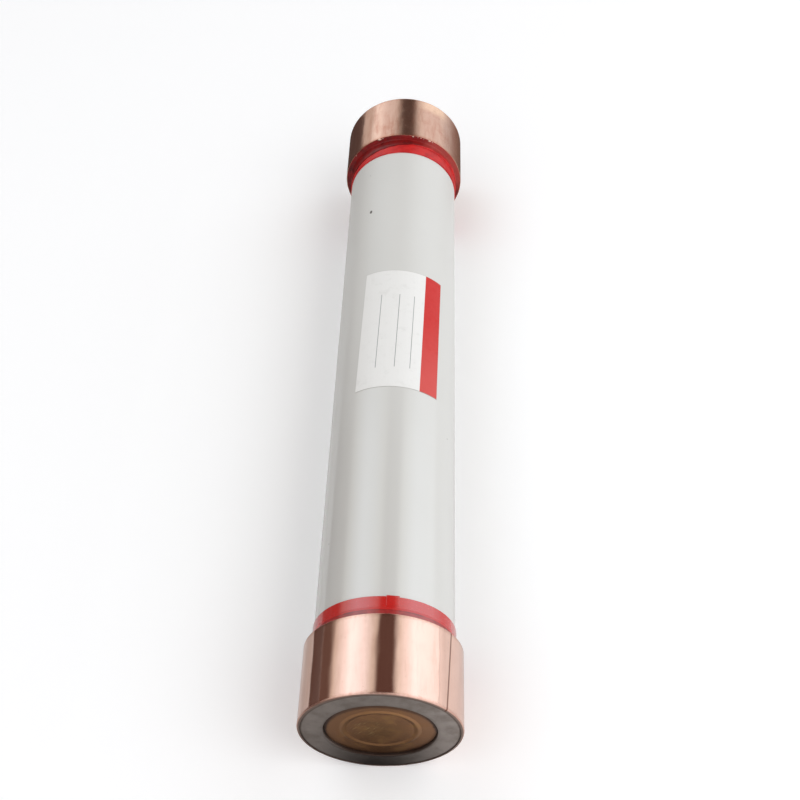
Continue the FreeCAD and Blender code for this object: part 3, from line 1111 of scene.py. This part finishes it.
# %% Stripes of the room
bare_wall = (0.90, 0.90, 0.90)
left_gap_light = (0.135, 0.085, 0.07)
top_gap_light = (0.115, 0.066, 0.055)
room_stripes = [
    (-180, bare_wall),
    (-91, bare_wall),
    (-90, left_gap_light),
    (-74, left_gap_light),
    (-66, (0.66, 0.62, 0.56)),
    (-40, (1.36, 1.41, 1.49)),
    (-23, (1.10, 1.15, 1.20)),
    (-7, (0.66, 0.63, 0.57)),
    (-1, top_gap_light),
    (20, top_gap_light),
    (27, (0.85, 0.83, 0.78)),
    (50, (1.38, 1.43, 1.51)),
    (90, (1.18, 1.21, 1.24)),
    (91, bare_wall),
]
top_gap, left_gap, glow_angle = 9.5, -82.0, -54.0
far_light = (0.95, 0.96, 0.94, 1.0)
far_gap_light = (0.13, 0.10, 0.09, 1.0)
far_glow = (1.46, 1.58, 1.62, 1.0)
far_left_light = (0.78, 0.75, 0.70, 1.0)


def far_room(shader, angle, stripes, towards_far):
    """The stripes as the far end's side of the room changes them."""
    top = shader.near(angle, top_gap, 12.0, 4.0)
    left = shader.near(angle, left_gap, 9.0, 3.0)
    gaps = shader.mix(shader.clamped(top + left), far_light, far_gap_light)
    glow = shader.near(angle, glow_angle, 11.0, 9.0)
    wide_top = shader.near(angle, top_gap, 18.5, 10.0)
    wide_left = shader.near(angle, left_gap, 14.0, 4.0)
    return shader.layers(
        stripes,
        (towards_far * 0.6, gaps),
        (glow * towards_far * 0.8, far_glow),
        (wide_top * towards_far * 0.8, far_gap_light),
        (wide_left * towards_far, far_left_light),
    )


print(len(room_stripes), "stops from", room_stripes[0][0], "to", room_stripes[-1][0], "degrees")

# %% World
far_slope = (0.75, 1.2)
plain_white = (1.0, 1.0, 1.0, 1.0)


def light_the_room():
    world = bpy.data.worlds.new("studio")
    world.use_nodes = True
    bpy.context.scene.world = world
    shader = Shader(world.node_tree)
    x, y, z = shader.parts(shader.add("ShaderNodeTexCoord", output="Generated"))
    angle = shader.maths("ARCTAN2", x, z) * math.degrees(1)
    stops = [(degrees / 360 + 0.5, light) for degrees, light in room_stripes]
    share = angle * (1 / 360) + 0.5
    stripes = shader.add("ShaderNodeValToRGB", {"stops": stops}, {"Fac": share})
    towards_far = shader.step(y / shader.distance(x, z), *far_slope)
    stripes = far_room(shader, angle, stripes, towards_far)
    rays = shader.add("ShaderNodeLightPath").socket.node.outputs
    seen = [Value(shader, rays[kind]) for kind in ("Is Camera Ray", "Is Transmission Ray")]
    tint = shader.mix(shader.maths("MAXIMUM", *seen), stripes, plain_white)
    background = shader.add("ShaderNodeBackground", inputs={"Color": tint, "Strength": 1.0})
    shader.add("ShaderNodeOutputWorld", inputs={"Surface": background})
    print(world.name, "has", len(world.node_tree.nodes), "nodes")


light_the_room()

# %% [markdown]
# ## Lamp
#
# One large soft lamp from the front right gives the tube its gentle fall of light and the fuse
# its shadow. The world alone would light it evenly from all sides, and it would seem to float.
# The lamp is hidden from reflections, because the stripes already are what the metal shows.

# %% Key lamp
key_size = 0.9
key_place = Vector((0.75, -0.55, 1.1))
key_power = 4.7

bpy.ops.object.light_add(type="AREA", location=key_place)
key = bpy.context.object
key.name = "key_lamp"
key.data.size = key_size
key.data.energy = key_power
key.rotation_euler = (-key_place).to_track_quat("-Z", "Y").to_euler()
key.visible_glossy = False
print("key lamp is", round(key_place.length, 2), "m away")

# %% [markdown]
# ## Floor
#
# The floor is a plain pale sheet. It could be a curved backdrop, but seen from above a flat one
# is enough. Under a soft lamp it would come out grey, so it glows a little, for the camera only:
# a little near the fuse, where its shadow has to stay, and more far away, where the floor meets
# the white of the world and the line between them would show.

# %% Floor sheet
floor_width = 8.0
floor_pale = colour(250, 250, 250)
no_light = (0.0, 0.0, 0.0, 1.0)
floor_lift = (0.11, 0.11, 0.11, 1.0)
far_floor_lift = (0.35, 0.35, 0.35, 1.0)
lift_grows = (500, 2500)


def floor_paper():
    """Pale paper that glows for the camera, more with the distance from the fuse."""
    material, shader, at = new_finish("floor_paper")
    seen = shader.add("ShaderNodeLightPath", output="Is Camera Ray")
    far_away = shader.step(shader.distance(at.x, at.y), *lift_grows)
    lift = shader.mix(seen, no_light, shader.mix(far_away, floor_lift, far_floor_lift))
    shader.surface(Base_Color=floor_pale, Roughness=0.9, Emission_Color=lift, Emission_Strength=1.0)
    return material


bpy.ops.object.select_all(action="DESELECT")
bpy.ops.mesh.primitive_plane_add(size=floor_width, location=(0, 0, floor_level))
floor = bpy.context.object
floor.name = "floor"
floor.data.materials.append(floor_paper())
print("floor lies at z", round(floor_level, 4))

# %% [markdown]
# ## What the metal reflects from below
#
# What lies round the fuse shows in its polished metal: a pale sheet, and past its edges a dark
# table. The floor that the camera sees stays plain, so a painted board lies just above it, and
# only reflections see it: dark at the left, dark behind the far end, and shade under the near
# end. Painting the floor itself would put the table into every view.

# %% Paint on the board
sheet_left, sheet_back, table_back = -117.0, 168.0, 450.0
behind_ends = (10, 205)
white_from = (200, 700)
brown_from = (0, 80)
shade_left = -85.0
shade_front = (-165, -150)
shade_side = (-25, 25)
# Where the painted shadow at the foot of the near end lies.
foot_middle = (-4.0, -155.0)
foot_reach = 39.0
sheet_grey = colour(234, 233, 232)
sheet_white = colour(252, 251, 250)
shaded_grey = colour(190, 188, 186)
table_dark = colour(84, 60, 52)
table_brown = colour(140, 92, 62)
foot_shadow_dark = colour(20, 12, 12)


def past_the_sheet(shader, at):
    """Where the table shows: left of the sheet, and behind it."""
    left_of_it = 1 - shader.step(at.x, sheet_left - 3, sheet_left + 3)
    left = left_of_it * (1 - shader.step(at.y, table_back - 60, table_back + 60))
    behind_it = shader.step(at.y + at.x * 0.1, sheet_back - 25, sheet_back + 5)
    back = behind_it * (1 - shader.step(at.x, *behind_ends))
    return shader.clamped(left + back)


def shaded_sheet(shader, at):
    """Where the sheet is in shade: before the near end, and towards its left edge."""
    front = (1 - shader.step(at.y, *shade_front)) * (1 - shader.step(at.x, *shade_side))
    return shader.clamped(front + shader.near(at.x, shade_left, 30.0, 15.0))


def painted_foot_shadow(shader, at):
    """The painted shadow at the foot of the near end."""
    from_foot = shader.distance(at.x - foot_middle[0], at.y - foot_middle[1])
    return 1 - shader.step(from_foot, 1.0, foot_reach)


def paint_board():
    material, shader, at = new_finish("reflection_board")
    table = shader.mix(shader.step(at.x, *brown_from), table_dark, table_brown)
    tint = shader.layers(
        sheet_grey,
        (shader.step(at.x, *white_from), sheet_white),
        (shaded_sheet(shader, at), shaded_grey),
        (past_the_sheet(shader, at), table),
        (painted_foot_shadow(shader, at), foot_shadow_dark),
    )
    shader.surface(Base_Color=tint, Roughness=0.9)
    return material


board_paint = paint_board()
print(board_paint.name, "has", len(board_paint.node_tree.nodes), "nodes")

# %% The board that reflections see
board_level = floor_level + MM

bpy.ops.object.select_all(action="DESELECT")
bpy.ops.mesh.primitive_plane_add(size=floor_width, location=(0, 0, 0))
bpy.ops.object.mode_set(mode="EDIT")
bpy.ops.transform.translate(value=(0, 0, board_level))
bpy.ops.object.mode_set(mode="OBJECT")
board = bpy.context.object
board.name = "reflection_board"
board.data.materials.append(board_paint)
board.visible_camera = False
board.visible_diffuse = False
board.visible_shadow = False
print("board lies at z", round(board_level, 4))

# %% [markdown]
# ## The fuse's size
#
# The dressed fuse must be as large as the CAD model, because other parts fit round it. The CAD
# model's box is printed when the frame is loaded.
